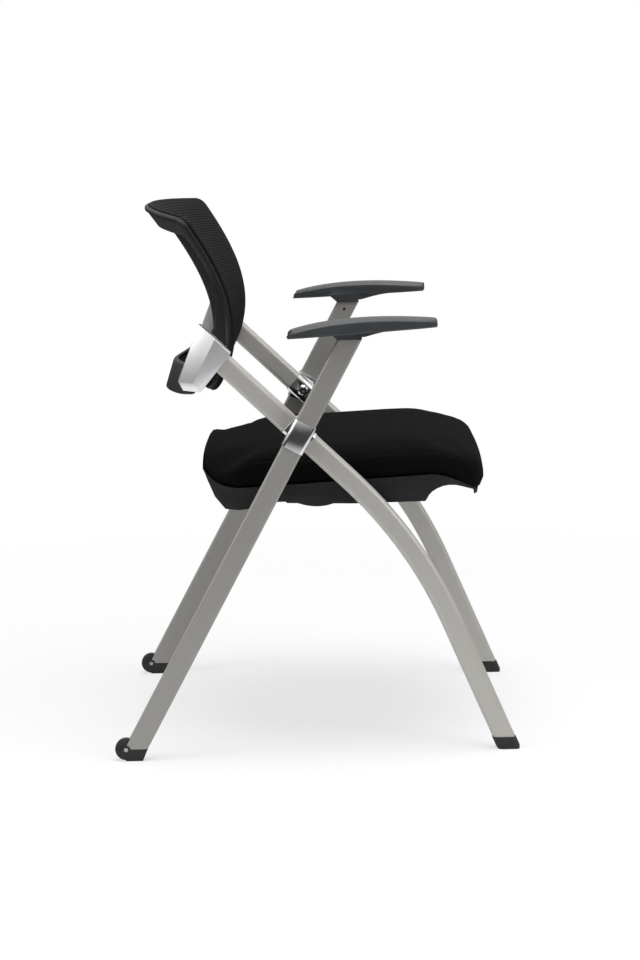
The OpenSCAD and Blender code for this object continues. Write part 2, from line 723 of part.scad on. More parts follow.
module pan_block(at, drop) {
    for (s = [-1, 1]) across(s * bearing_y - bearing_w / 2, s * bearing_y + bearing_w / 2)
        polygon([[at[0] - bearing_half, at[1] - drop], [at[0] + bearing_half, at[1] - drop],
            [at[0] + bearing_half, rim(at[0] + bearing_half) - deck_t / 2],
            [at[0] - bearing_half, rim(at[0] - bearing_half) - deck_t / 2]]);
}

module seat_pan() {
    color(black_colour) difference() {
        union() {
            difference() {
                intersection() {
                    across(-span / 2, span / 2)
                        polygon(concat(rim_line(0, -pan_rear, pan_front), skirt_edge));
                    linear_extrude(span) plan_outline(0);
                }
                intersection() {
                    across(-span / 2, span / 2) polygon(concat(rim_line(deck_t, -pan_rear, pan_front),
                        [[pan_front, 0], [-pan_rear, 0]]));
                    linear_extrude(span) plan_outline(pan_wall);
                }
            }
            pan_block(front_bar, 0);
            pan_block(rear_bar, -bar_r / 2);
        }
        rod(front_bar, bar_r + running, -span / 2, span / 2);
        along_bar_notch();
        across(-span / 2, span / 2) polygon(path_band(0, notch_fold, bar_r + rest_t, 12));
        rod(rear_bar, bar_r + rest_t + snug, -span / 2, span / 2);
        cam_window();
    }
}

// The rear bar has left the skirts at this fold.
notch_fold = 16;
// The front bar's notch in the skirts runs down behind the front leg tube.
module along_bar_notch() {
    half = bar_r + running;
    translate([0, -span / 2, 0]) difference() {
        translate([front_bar[0], 0, front_bar[1]]) rotate([0, 90 + upper_slope, 0])
            translate([-half, 0, 0]) cube([2 * half, span, 2 * front_tube_w]);
        translate([-span / 2, span / 2 - bearing_y - bearing_w, 0])
            cube([span, 2 * bearing_y + 2 * bearing_w, span]);
    }
}

// The cushion: each ring is the seat's outline drawn in by a share, and raised by another. The
// first rings lie on the pan, and the seam runs round the side as a groove.
cushion_shares = [[0.5, 0], [0.68, 0], [0.78, 0], [0.86, 0], [0.925, 0], [0.965, 0.01], [0.99, 0.1],
    [1, 0.26], [0.997, 0.42], [0.988, 0.475], [0.996, 0.53], [0.995, 0.68], [0.982, 0.82], [0.955, 0.915],
    [0.9, 0.97], [0.8, 0.993], [0.6, 1], [0.3, 1]];
crown_drop = 8;
crown_at = 150;
cushion_lift = 1;
front_drop = 26;
rear_drop = 8;
fall_lead = 40;
cushion_mid = (seat_front - seat_rear) / 2;
cushion_half = (seat_front + seat_rear) / 2;
cushion_loop = seat_loop(cushion_half, seat_half_w, seat_corner + 2 * pan_inset);
cushion_steps = len(cushion_loop);
// The top falls away toward the front edge, and slightly toward the rear.
function top_fall(x) = let (from = front_fall_from - fall_lead)
    front_drop * pow(max(0, (x - from) / (seat_front - from)), 2)
    + rear_drop * pow(max(0, (-x - fall_lead) / (seat_rear - fall_lead)), 2);
function cushion_point(i, s) = let (p = cushion_loop[i] * s[0], x = cushion_mid + p[0],
    low = rim(max(-pan_rear, min(pan_front, x))) + cushion_lift,
    high = crown_h + rim_slope_share * (x - crown_at) - crown_drop * s[0] * s[0] - top_fall(x))
    [x, p[1], mix(low, high, s[1])];

module seat_cushion() {
    n = cushion_steps;
    m = len(cushion_shares);
    color(fabric_colour) polyhedron(
        points = concat([for (s = cushion_shares) each [for (i = [0:n - 1]) cushion_point(i, s)]],
            [[cushion_mid, 0, rim(cushion_mid) + cushion_lift], [cushion_mid, 0, crown_h]]),
        faces = concat(
            [for (i = [0:m - 2], j = [0:n - 1], h = [0, 1])
                let (a = i * n + j, b = i * n + (j + 1) % n, c = (i + 1) * n + (j + 1) % n,
                    d = (i + 1) * n + j) h == 0 ? [a, c, b] : [a, d, c]],
            [for (j = [0:n - 1]) [m * n, j, (j + 1) % n]],
            [for (j = [0:n - 1]) [m * n + 1, (m - 1) * n + (j + 1) % n, (m - 1) * n + j]]));
}

// The cam plate hangs under the deck by a foot, and its rear corner stands in a window of the deck.
cam_slot_r = bar_r + free_gap;
cam_steps = 28;
cam_front = front_bar[0] - bar_r - cam_wall;
window_front = rear_bar[0] + bar_r + 2 * cam_wall;
window_rear = rear_bar[0] - bar_r - 2 * cam_wall;
cam_foot_w = 18;
cam_foot_t = 3;
screw_r = 2.5;
screw_head_r = 4.2;
screw_head_t = 1.8;
cam_screw_shares = [0.2, 0.85];

module cam_window() {
    translate([window_rear, -cam_t / 2 - free_gap, rim_h - 2 * skirt_depth])
        cube([window_front - window_rear, cam_t + 2 * free_gap, 4 * skirt_depth]);
}

// The screws' places on the deck's underside, with Z square to it
module under_deck() {
    for (share = cam_screw_shares, side = [-1, 1]) {
        x = mix(window_front, cam_front, share);
        translate([x, side * (cam_t + cam_foot_w) / 2, rim(x) - deck_t])
            rotate([0, -atan(rim_slope_share), 0]) children();
    }
}

module seat_cam_plate() {
    outer_r = cam_slot_r + cam_wall;
    color(black_colour) difference() {
        union() {
            across(-cam_t / 2, cam_t / 2) difference() {
                polygon(concat(
                    [for (i = [0:cam_steps]) let (p = fold_angle * i / cam_steps)
                        bar_path(p) - outer_r * path_side(p)],
                    [for (p = rim_line(deck_t, cam_front, window_front)) p],
                    [[window_front - free_gap, rim(window_front) - deck_t],
                        [window_front - free_gap, rim(window_front) - free_gap],
                        [window_rear + free_gap, rim(window_rear) - free_gap],
                        [window_rear + free_gap, rear_bar[1] - bar_r]]));
                polygon(path_band(0, fold_angle, cam_slot_r, cam_steps));
            }
            across(-cam_t / 2 - cam_foot_w, cam_t / 2 + cam_foot_w) polygon([
                [window_front + cam_foot_t, rim(window_front + cam_foot_t) - deck_t],
                [cam_front, rim(cam_front) - deck_t], [cam_front, rim(cam_front) - deck_t - cam_foot_t],
                [window_front + cam_foot_t, rim(window_front + cam_foot_t) - deck_t - cam_foot_t]]);
        }
        under_deck() translate([0, 0, -2 * cam_foot_t])
            cylinder(h = 2 * cam_foot_t + cut, r = screw_r + snug);
    }
}

module cam_plate_screws() {
    color(steel_colour) under_deck() {
        translate([0, 0, -cam_foot_t]) cylinder(h = cam_foot_t, r = screw_r);
        translate([0, 0, -cam_foot_t - screw_head_t]) cylinder(h = screw_head_t, r = screw_head_r);
    }
}

strap_t = 2.5;
strap_w = 26;
strap_screw_x = (bearing_half + bar_r + strap_t) / 2;
module hinge_strap() {
    color(steel_colour) difference() {
        union() {
            rod(front_bar, bar_r + strap_t, -bearing_y - strap_w / 2, -bearing_y + strap_w / 2);
            across(-bearing_y - strap_w / 2, -bearing_y + strap_w / 2)
                translate(front_bar - [bearing_half, strap_t]) square([2 * bearing_half, strap_t]);
        }
        rod(front_bar, bar_r + running, -bearing_y - strap_w, -bearing_y + strap_w);
        translate([front_bar[0] - span / 2, -bearing_y - strap_w, front_bar[1]])
            cube([span, 2 * strap_w, span]);
        for (x = [-1, 1]) translate([front_bar[0] + x * strap_screw_x, -bearing_y, 0])
            cylinder(h = span, r = screw_r + snug);
    }
}

module strap_screws() {
    color(steel_colour) both() for (x = [-1, 1])
        translate([front_bar[0] + x * strap_screw_x, -bearing_y, front_bar[1] - strap_t]) {
            cylinder(h = strap_t, r = screw_r);
            translate([0, 0, -screw_head_t]) cylinder(h = screw_head_t, r = screw_r + strap_t / 2);
        }
}

module rest_pad() {
    color(rubber_colour) intersection() {
        difference() {
            rod(rear_bar, bar_r + rest_t, -bearing_y - bearing_w / 2, -bearing_y + bearing_w / 2);
            rod(rear_bar, bar_r + free_gap, -bearing_y - bearing_w, -bearing_y + bearing_w);
        }
        slab(rear_bar[1] + bar_r / 2, span, span);
    }
}

front_leg();  // right_front_leg
left() front_leg();  // left_front_leg
front_cross_bar();
leg_sleeve();  // right_leg_sleeve
left() leg_sleeve();  // left_leg_sleeve
back_bracket();  // right_back_bracket
left() back_bracket();  // left_back_bracket
back_shell();
back_mesh_frame();
back_mesh();
back_handle();
pivot_bolts();
pivot_nuts();
pivot_washers();
front_cap();  // right_front_cap
left() front_cap();  // left_front_cap
rear_leg();  // right_rear_leg
left() rear_leg();  // left_rear_leg
rear_cross_bar();
leg_collar();  // right_leg_collar
left() leg_collar();  // left_leg_collar
pivot_bushes();
armrest();  // right_armrest
left() armrest();  // left_armrest
armrest_screws();
rear_shoe();  // right_rear_shoe
left() rear_shoe();  // left_rear_shoe
roller_axles();
roller();  // right_roller
left() roller();  // left_roller
seat_pan();
seat_cushion();
seat_cam_plate();
cam_plate_screws();
hinge_strap();  // right_hinge_strap
left() hinge_strap();  // left_hinge_strap
strap_screws();
rest_pad();  // right_rest_pad
left() rest_pad();  // left_rest_pad
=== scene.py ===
# %% [markdown]
# # A folding armchair with a mesh back
# A folding conference chair has two leg frames that cross below the arms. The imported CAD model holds
# every joint and every size, so this script only dresses it: the frame stays where it is, the soft
# pieces are made here, and each hard piece gets softened edges and the finish of the real one.

# %% Load the frame
import json
import math

import bmesh
import bpy
from mathutils import Matrix, Vector


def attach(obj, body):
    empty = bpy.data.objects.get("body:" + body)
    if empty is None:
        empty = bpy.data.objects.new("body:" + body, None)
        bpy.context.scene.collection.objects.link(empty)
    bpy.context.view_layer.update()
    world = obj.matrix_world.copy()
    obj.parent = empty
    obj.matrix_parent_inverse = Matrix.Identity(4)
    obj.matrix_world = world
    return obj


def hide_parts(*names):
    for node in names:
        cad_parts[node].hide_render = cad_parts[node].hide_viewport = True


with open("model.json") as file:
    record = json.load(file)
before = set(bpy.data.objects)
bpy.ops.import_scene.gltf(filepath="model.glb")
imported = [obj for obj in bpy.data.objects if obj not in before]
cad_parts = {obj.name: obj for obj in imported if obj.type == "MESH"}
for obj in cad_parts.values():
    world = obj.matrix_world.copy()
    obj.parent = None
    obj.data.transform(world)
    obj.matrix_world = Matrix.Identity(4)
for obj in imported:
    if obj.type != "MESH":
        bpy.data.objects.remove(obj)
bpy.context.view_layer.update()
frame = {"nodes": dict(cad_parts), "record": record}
nodes = frame["nodes"]

# %% [markdown]
# ## The camera
# The photograph looks at the chair's right side from about four metres, a little from above. The lens
# is long, so the near and the far legs are almost the same size. The camera's three angles are given
# as a level heading, a dip below the horizon and a small roll.

# %% Camera
MM = 0.001
SENSOR = 36


def stand_camera(place, heading, dip, roll, lens):
    """A camera that looks along +Y, then turned by its heading, dip and roll in degrees."""
    heading, dip, roll = (math.radians(angle) for angle in (heading, dip, roll))
    ahead = Vector((math.sin(heading) * math.cos(dip), math.cos(heading) * math.cos(dip), -math.sin(dip)))
    level = Vector((math.cos(heading), -math.sin(heading), 0))
    above = level.cross(ahead)
    right = math.cos(roll) * level + math.sin(roll) * above
    up = math.cos(roll) * above - math.sin(roll) * level
    data = bpy.data.cameras.new("camera")
    data.lens = lens
    data.sensor_width = SENSOR
    camera = bpy.data.objects.new("camera", data)
    bpy.context.collection.objects.link(camera)
    camera.matrix_world = Matrix.Translation(place) @ Matrix((right, up, -ahead)).transposed().to_4x4()
    bpy.context.scene.camera = camera
    return camera


camera = stand_camera(Vector((46.5, -4018, 1085.6)) * MM, heading=-0.54, dip=9.95, roll=-1.18, lens=95.36)
print("camera at", [round(value, 3) for value in camera.matrix_world.translation])

# %% [markdown]
# ## Light, floor and background
# A catalogue photograph is lit by large soft lamps over a white sweep. Here the world is a dome that
# gives an even light, and three square lamps stand in for the soft boxes. The camera sees white, but
# the dome lights the chair less, so the colours come out as they are written. A mirror sees a studio
# that is bright overhead and dark along the horizon, which is what makes chrome look like chrome.

# %% Node helper and colours
PLAIN_WHITE = (1, 1, 1, 1)


def linear(code):
    """A colour written as sRGB hex, as the linear values that a shader takes."""
    parts = [int(code[i:i + 2], 16) / 255 for i in (1, 3, 5)]
    return [part / 12.92 if part <= 0.04045 else ((part + 0.055) / 1.055) ** 2.4 for part in parts] + [1]


def add(tree, kind, links=None, **settings):
    """One shader node, with its settings, its socket values and the outputs that feed it."""
    node = tree.nodes.new(kind)
    for name, value in settings.items():
        setattr(node, name, value)
    for socket, value in (links or {}).items():
        if isinstance(value, bpy.types.NodeSocket):
            tree.links.new(value, node.inputs[socket])
        else:
            node.inputs[socket].default_value = value
    return node


def new_material(name):
    """An empty material and its node tree."""
    material = bpy.data.materials.new(name)
    material.use_nodes = True
    material.node_tree.nodes.clear()
    return material, material.node_tree


# %% World and lamps
DOME = 0.5
world = bpy.data.worlds.new("studio")
world.use_nodes = True
tree = world.node_tree
tree.nodes.clear()
rays = add(tree, "ShaderNodeLightPath").outputs
either = {0: rays["Is Camera Ray"], 1: rays["Is Transmission Ray"]}
seen = add(tree, "ShaderNodeMath", either, operation="MAXIMUM")
dome = add(tree, "ShaderNodeBackground", {"Color": linear("#f2f4f7"), "Strength": DOME})
white = add(tree, "ShaderNodeBackground", {"Color": PLAIN_WHITE, "Strength": 1.0})
facing = add(tree, "ShaderNodeTexCoord").outputs["Generated"]
heading = add(tree, "ShaderNodeSeparateXYZ", {0: facing}).outputs["Z"]
climb = {"Value": heading, "From Min": -0.04, "From Max": 0.44, "To Min": 0.07, "To Max": 1.0}
height = add(tree, "ShaderNodeMapRange", climb, interpolation_type="SMOOTHSTEP").outputs[0]
mirrored = add(tree, "ShaderNodeBackground", {"Color": PLAIN_WHITE, "Strength": height})
lit = add(tree, "ShaderNodeMixShader", {0: rays["Is Glossy Ray"], 1: dome.outputs[0], 2: mirrored.outputs[0]})
mixed = add(tree, "ShaderNodeMixShader", {0: seen.outputs[0], 1: lit.outputs[0], 2: white.outputs[0]})
add(tree, "ShaderNodeOutputWorld", {"Surface": mixed.outputs[0]})
bpy.context.scene.world = world


def soft_box(name, place, aim, size, watts):
    """A square lamp at a place, turned toward the point that it lights."""
    data = bpy.data.lights.new(name, "AREA")
    data.shape = "SQUARE"
    data.size = size
    data.energy = watts
    lamp = bpy.data.objects.new(name, data)
    bpy.context.collection.objects.link(lamp)
    turn = (Vector(aim) - Vector(place)).to_track_quat("-Z", "Y")
    lamp.matrix_world = Matrix.Translation(place) @ turn.to_matrix().to_4x4()
    return lamp


soft_box("top_box", place=(0.2, -0.3, 2.9), aim=(0, 0, 0.4), size=1.8, watts=52)
soft_box("front_box", place=(2.4, -1.8, 1.9), aim=(0, 0, 0.5), size=1.3, watts=20)
soft_box("rear_box", place=(-2.4, -0.9, 2.0), aim=(0, 0, 0.6), size=1.2, watts=22)
print("three lamps, dome strength", DOME)

# %% [markdown]
# The floor is a wide white disc. Near the feet it is matt and takes the chair's soft shadow, and
# further out it turns into plain white, as the rising sweep of a studio does. What mirrors see of it
# grows dark away from the chair, where a studio's floor is unlit.

# %% Floor
FLOOR_RADIUS = 9
bed = bmesh.new()
bmesh.ops.create_circle(bed, cap_ends=True, segments=96, radius=FLOOR_RADIUS)
floor_data = bpy.data.meshes.new("floor")
bed.to_mesh(floor_data)
bed.free()
floor = bpy.data.objects.new("floor", floor_data)
bpy.context.collection.objects.link(floor)

floor_paint, tree = new_material("white_studio_floor")
rays = add(tree, "ShaderNodeLightPath").outputs
matt = add(tree, "ShaderNodeBsdfDiffuse", {"Color": linear("#f7f7f7")})
glow = add(tree, "ShaderNodeEmission", {"Color": PLAIN_WHITE, "Strength": 1.0})
place = add(tree, "ShaderNodeTexCoord").outputs["Object"]
reach = add(tree, "ShaderNodeVectorMath", {0: place}, operation="LENGTH").outputs["Value"]
to_white = {"Value": reach, "From Min": 0.5, "From Max": 1.6, "To Min": 0.55, "To Max": 1.0}
fade = add(tree, "ShaderNodeMapRange", to_white)
share = add(tree, "ShaderNodeMath", {0: fade.outputs[0], 1: rays["Is Camera Ray"]}, operation="MULTIPLY")
both = add(tree, "ShaderNodeMixShader", {0: share.outputs[0], 1: matt.outputs[0], 2: glow.outputs[0]})
away = add(tree, "ShaderNodeMapRange", {"Value": reach, "From Min": 0.9, "From Max": 1.9})
away = add(tree, "ShaderNodeMath", {0: away.outputs[0], 1: rays["Is Glossy Ray"]}, operation="MULTIPLY")
unlit = add(tree, "ShaderNodeEmission", {"Color": PLAIN_WHITE, "Strength": 0.06})
whole = add(tree, "ShaderNodeMixShader", {0: away.outputs[0], 1: both.outputs[0], 2: unlit.outputs[0]})
add(tree, "ShaderNodeOutputMaterial", {"Surface": whole.outputs[0]})
floor_data.materials.append(floor_paint)
print("floor radius", FLOOR_RADIUS, "m")

# %% [markdown]
# ## Finishes
# Each finish starts from what the real surface is and how it was made. The base colour is the one the
# photograph shows under its soft light, and the fine relief comes from patterns laid out in
# millimetres on the object's own coordinates, so they keep their scale wherever a piece stands.


# %% Finish helpers
def surface(tree, **sockets):
    """The shader that every finish uses, joined to the material's output."""
    values = {name.replace("_", " "): value for name, value in sockets.items()}
    shader = add(tree, "ShaderNodeBsdfPrincipled", values)
    add(tree, "ShaderNodeOutputMaterial", {"Surface": shader.outputs[0]})
    return shader


def grain(tree, spacing, detail=2.0):
    """Even noise whose spots are about this many millimetres apart."""
    place = add(tree, "ShaderNodeTexCoord").outputs["Object"]
    links = {"Vector": place, "Scale": 1 / (spacing * MM), "Detail": detail}
    return add(tree, "ShaderNodeTexNoise", links).outputs["Fac"]


def spread(tree, value, low, high, start=0.3, end=0.7):
    """A pattern's values carried over to another range."""
    links = {"Value": value, "From Min": start, "From Max": end, "To Min": low, "To Max": high}
    return add(tree, "ShaderNodeMapRange", links).outputs[0]


def tint(tree, value, dark, light):
    """A pattern turned into a colour between two hex codes."""
    ramp = add(tree, "ShaderNodeMix", {0: value, 6: linear(dark), 7: linear(light)}, data_type="RGBA")
    return ramp.outputs[2]


def relief(tree, height, depth, strength=1.0, under=None):
    """Bump whose full height is this many millimetres."""
    links = {"Height": height, "Distance": depth * MM, "Strength": strength}
    if under:
        links["Normal"] = under
    return add(tree, "ShaderNodeBump", links).outputs[0]


# %% [markdown]
# Powder coat is sprayed dry and melted on in an oven. It flows out into a skin with a faint orange
# peel, about a millimetre from crest to crest, and its silver grey is a little mottled by the flakes
# in it. Handling leaves larger, very faint clouds in its gloss. The coat is made in two greys: the lighter
# one, on every coated part but the rear tubes, holds painted light for the crowned faces of the front
# tubes that catch the top light, and the darker one, on the rear tubes, holds painted shade for their flat
# faces.

# %% Powder coat
finishes = {}
# Painted light and shade: the first grey is lighter and the second, for the rear tubes, darker than the
# coat's own grey.
for painted_light_suffix, dark, light in (("", "#aeaba5", "#bab7b1"), ("_rear", "#918f8a", "#9c9994")):
    paint, tree = new_material("silver_powder_coat_on_steel" + painted_light_suffix)
    peel = grain(tree, 1.1)
    flakes = grain(tree, 0.6, detail=0)
    clouds = grain(tree, 45)
    colour = tint(tree, spread(tree, flakes, 0, 1), dark, light)
    gloss = spread(tree, clouds, 0.36, 0.44)
    surface(tree, Base_Color=colour, Metallic=0.25, Roughness=gloss, Normal=relief(tree, peel, 0.03, 0.6))
    finishes["powder_coat" + painted_light_suffix] = paint

# %% [markdown]
# The sleeves, collars and pivot bolts are chrome plated. The plating follows the metal under it, so
# its mirror is broken by very soft waves some centimetres long, and fine polishing marks blur it a
# little. The brackets are zinc castings that are blasted before they are plated: they mirror nothing
# sharply and look bright all over. Nuts, axles and hinge straps are plated with zinc, which has a
# faint spangle, and the screws of the arms are blackened.

# %% Chrome, zinc and black oxide
chrome, tree = new_material("polished_chrome_plating")
marks = grain(tree, 2.5)
waves = grain(tree, 22, detail=0)
surface(tree, Base_Color=linear("#dcdcdd"), Metallic=1.0, Roughness=spread(tree, marks, 0.1, 0.17),
        Normal=relief(tree, waves, 0.5, 0.35))
finishes["chrome"] = chrome

satin, tree = new_material("satin_chrome_on_zinc_casting")
marks = grain(tree, 1.4, detail=3)
waves = grain(tree, 16, detail=0)
surface(tree, Base_Color=linear("#ececec"), Metallic=1.0, Roughness=spread(tree, marks, 0.4, 0.46),
        Normal=relief(tree, waves, 0.4, 0.3))
finishes["satin_chrome"] = satin

zinc, tree = new_material("zinc_plated_steel")
spangle = grain(tree, 1.6)
colour = tint(tree, spread(tree, spangle, 0, 1), "#9b9d9f", "#b9bbbc")
surface(tree, Base_Color=colour, Metallic=1.0, Roughness=spread(tree, spangle, 0.26, 0.38))
finishes["steel"] = zinc

oxide, tree = new_material("black_oxide_steel")
gloss = spread(tree, grain(tree, 1.2), 0.4, 0.55)
surface(tree, Base_Color=linear("#1a1a1b"), Metallic=0.7, Roughness=gloss)
finishes["blackened"] = oxide

# %% [markdown]
# The shell, the handle and the pan are moulded in black nylon. The mould is spark eroded, which
# leaves a matt skin of tiny pits half a millimetre wide. The arms are a softer plastic with a coarser
# skin, and a shade lighter. The shoes, caps, rollers and rest pads are matt rubber with a faint bloom,
# and the bushes and washers of the pivots are plain acetal, which is smooth.

# %% Moulded plastics and rubber
plastic, tree = new_material("spark_eroded_black_nylon")
pits = grain(tree, 0.55, detail=3)
clouds = grain(tree, 30)
colour = tint(tree, spread(tree, clouds, 0, 1), "#131314", "#19191a")
surface(tree, Base_Color=colour, Roughness=spread(tree, pits, 0.42, 0.54), Specular_IOR_Level=0.35,
        Normal=relief(tree, pits, 0.06, 0.7))
finishes["black_plastic"] = plastic

pad, tree = new_material("soft_moulded_polyurethane")
pits = grain(tree, 0.8, detail=3)
colour = tint(tree, spread(tree, grain(tree, 25), 0, 1), "#303234", "#383a3c")
surface(tree, Base_Color=colour, Roughness=spread(tree, pits, 0.4, 0.5), Normal=relief(tree, pits, 0.05, 0.6))
finishes["pad_plastic"] = pad

rubber, tree = new_material("matt_black_rubber")
bloom = grain(tree, 9, detail=4)
skin = grain(tree, 0.9)
colour = tint(tree, spread(tree, bloom, 0, 1), "#141414", "#1f1f1e")
surface(tree, Base_Color=colour, Roughness=spread(tree, bloom, 0.6, 0.78),
        Normal=relief(tree, skin, 0.05, 0.5))
finishes["rubber"] = rubber

nylon, tree = new_material("plain_black_acetal")
gloss = spread(tree, grain(tree, 1.5), 0.3, 0.4)
surface(tree, Base_Color=linear("#161617"), Roughness=gloss)
finishes["nylon"] = nylon

# %% [markdown]
# The seat cover is a close plain weave of matt polyester yarn, about 1 mm from thread to thread. Two
# sets of waves at right angles give the over and under of the threads. The pattern has to follow the
# cloth, so it reads a UV map, which the cushion gets from its own top and sides.

# %% Seat fabric
THREAD = 1.1
MELANGE_SHARE = 0.55
cloth, tree = new_material("close_plain_weave_polyester")
across = add(tree, "ShaderNodeSeparateXYZ", {0: add(tree, "ShaderNodeTexCoord").outputs["UV"]}).outputs
halves = []
for axis in (0, 1):
    turn = add(tree, "ShaderNodeMath", {0: across[axis], 1: math.pi / (THREAD * MM)}, operation="MULTIPLY")
    halves.append(add(tree, "ShaderNodeMath", {0: turn.outputs[0]}, operation="SINE").outputs[0])
both = add(tree, "ShaderNodeMath", {0: halves[0], 1: halves[1]}, operation="MULTIPLY").outputs[0]
weave = add(tree, "ShaderNodeMath", {0: both, 1: 0.5, 2: 0.5}, operation="MULTIPLY_ADD").outputs[0]
fuzz = grain(tree, 0.7, detail=3)
melange = spread(tree, grain(tree, 3.5, detail=4), 0, 1)
level = add(tree, "ShaderNodeMix", {0: 1 - MELANGE_SHARE, 2: melange, 3: weave}).outputs[0]
colour = tint(tree, level, "#050506", "#0d0d0e")
bump = relief(tree, fuzz, 0.15, 0.4, relief(tree, weave, 0.35, 0.7))
surface(tree, Base_Color=colour, Roughness=0.95, Specular_IOR_Level=0.05, Sheen_Weight=0.008, Normal=bump)
finishes["seat_fabric"] = cloth

# %% [markdown]
# The back is a knitted spacer mesh. Its ribs run across the back 4 mm apart, and they are modelled.
# In the valleys between them the knit has rows of small deep pits. The colour is painted darker in the
# valleys and darkest in the pits, which is painted shade, and lighter on the rib crests. The pattern reads
# the mesh's UV map, which counts columns across and ribs up the back, so it always lines up with the ribs.

# %% Knitted mesh
RIB = 4.0
STITCH = 2.6
knit, tree = new_material("knitted_polyester_mesh")
uv = add(tree, "ShaderNodeSeparateXYZ", {0: add(tree, "ShaderNodeTexCoord").outputs["UV"]}).outputs
column = add(tree, "ShaderNodeMath", {0: uv[0], 1: 2 * math.pi / (STITCH * MM)}, operation="MULTIPLY")
column = add(tree, "ShaderNodeMath", {0: column.outputs[0]}, operation="COSINE").outputs[0]
row = add(tree, "ShaderNodeMath", {0: uv[1], 1: 2 * math.pi / (RIB * MM)}, operation="MULTIPLY")
row = add(tree, "ShaderNodeMath", {0: row.outputs[0]}, operation="COSINE").outputs[0]
crossing = add(tree, "ShaderNodeMath", {0: column, 1: row}, operation="ADD").outputs[0]
# Painted shade: the colour is lighter on the rib crests and darker in the valleys and the pits.
painted_rib_shade = add(tree, "ShaderNodeMath", {0: row, 1: -0.5, 2: 0.5}, operation="MULTIPLY_ADD").outputs[0]
pits = spread(tree, crossing, 1.0, 0.0, start=0.2, end=1.6)
level = add(tree, "ShaderNodeMath", {0: painted_rib_shade, 1: pits}, operation="MULTIPLY").outputs[0]
colour = tint(tree, level, "#020202", "#202021")
yarn = grain(tree, 0.5)
bump = relief(tree, yarn, 0.15, 0.5, relief(tree, spread(tree, column, 0, 1, -1, 1), 0.3, 0.6))
surface(tree, Base_Color=colour, Roughness=0.75, Specular_IOR_Level=0.15, Sheen_Weight=0.01, Normal=bump)
finishes["mesh"] = knit

# %% [markdown]
# The record names a material for every node of the CAD model, and each of these names has its finish.
# Four pieces and the screws differ from what their material usually gets: the brackets are satin, the
# rear tubes take the darker powder coat, which is painted shade, and the screws are black.

# %% Finishes on the CAD nodes
slots = {part["node"]: part["material_slot"] for part in frame["record"]["subparts"]}
special = {"armrest_screws": "blackened"}
# The rear legs take the darker coat, which carries painted shade.
for side in ("right", "left"):
    special |= {side + "_back_bracket": "satin_chrome", side + "_rear_leg": "powder_coat_rear"}


def finish_of(node):
    """The finish of a CAD node: its own, or else the one of its material."""
    return finishes[special.get(node, slots[node])]


for name, node in nodes.items():
    for holder in node.material_slots:
        holder.material = finish_of(name)
print("finishes:", ", ".join(sorted(finishes)))

# %% [markdown]
# ## Softened hard pieces
# A CAD solid has perfectly sharp edges, but a moulded, cast or pressed piece never has: its edges are
# a millimetre or so round, and they catch the light. The CAD mesh itself stays as it is. A copy has
# its loose triangles merged, its flat faces joined, and a Bevel modifier rounds every edge that turns
# sharply. The copy then stands for the node.

# %% Softened copies
WELD = 1e-6
NEARLY_FLAT = math.radians(0.6)
SHARP = math.radians(28)


def show(mesh_or_bed, name, body, slot, node=None, finish=None):
    """A finished mesh as a piece that rides on a body, takes a slot's finish and may stand for a node."""
    mesh = mesh_or_bed
    if isinstance(mesh, bmesh.types.BMesh):
        mesh = bpy.data.meshes.new(name)
        mesh_or_bed.to_mesh(mesh)
        mesh_or_bed.free()
    mesh.materials.clear()
    mesh.materials.append(finish or finishes[slot])
    piece = bpy.data.objects.new(name, mesh)
    bpy.context.collection.objects.link(piece)
    mesh.shade_smooth()
    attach(piece, body)
    if node:
        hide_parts(node)
    return piece


def round_edges(piece, width):
    """A live Bevel on the sharp edges, with normals that keep the flat faces flat."""
    bevel = piece.modifiers.new("rounded_edges", "BEVEL")
    bevel.width = width * MM
    bevel.segments = 3
    bevel.limit_method = "ANGLE"
    bevel.angle_limit = SHARP
    bevel.harden_normals = True
    return piece


body_of = {node: body for body, members in frame["record"]["behaviour"]["bodies"].items() for node in members}


def softened(node, width):
    """A copy of a CAD node with rounded edges, which stands for the node."""
    bed = bmesh.new()
    bed.from_mesh(nodes[node].data)
    bmesh.ops.remove_doubles(bed, verts=bed.verts, dist=2 * WELD)
    bmesh.ops.dissolve_degenerate(bed, edges=bed.edges, dist=WELD)
    bmesh.ops.dissolve_limit(bed, angle_limit=NEARLY_FLAT, verts=bed.verts, edges=bed.edges)
    piece = show(bed, node + "_soft", body_of[node], slots[node], node, finish_of(node))
    return round_edges(piece, width)


ROUNDED = {"seat_pan": 1.2, "back_handle": 1.6, "seat_cam_plate": 0.6, "right_hinge_strap": 0.5,
           "left_hinge_strap": 0.5}
for side in ("right", "left"):
    ROUNDED |= {side + "_back_bracket": 1.8, side + "_armrest": 1.2, side + "_leg_sleeve": 0.5,
                side + "_leg_collar": 0.5, side + "_front_cap": 1.2, side + "_rear_shoe": 0.8,
                side + "_roller": 0.8}
for node, width in ROUNDED.items():
    piece = softened(node, width)
    print(node, len(piece.data.vertices), "vertices, edges rounded by", width, "mm")

# %% [markdown]
# The pan's front lip is the one place where the moulding is thinner than its CAD solid: it runs out to
# an edge of about 3 mm under the cushion's nose. The deck is lowered smoothly toward the front and at
# the rear corners, and the underside stays. Along the sides in front, its edge stands a little proud
# and catches the light. The line where pan and cushion meet is one function, which both pieces follow.
# Lengths are in millimetres. A pair is the place where a change starts and the run that it takes.

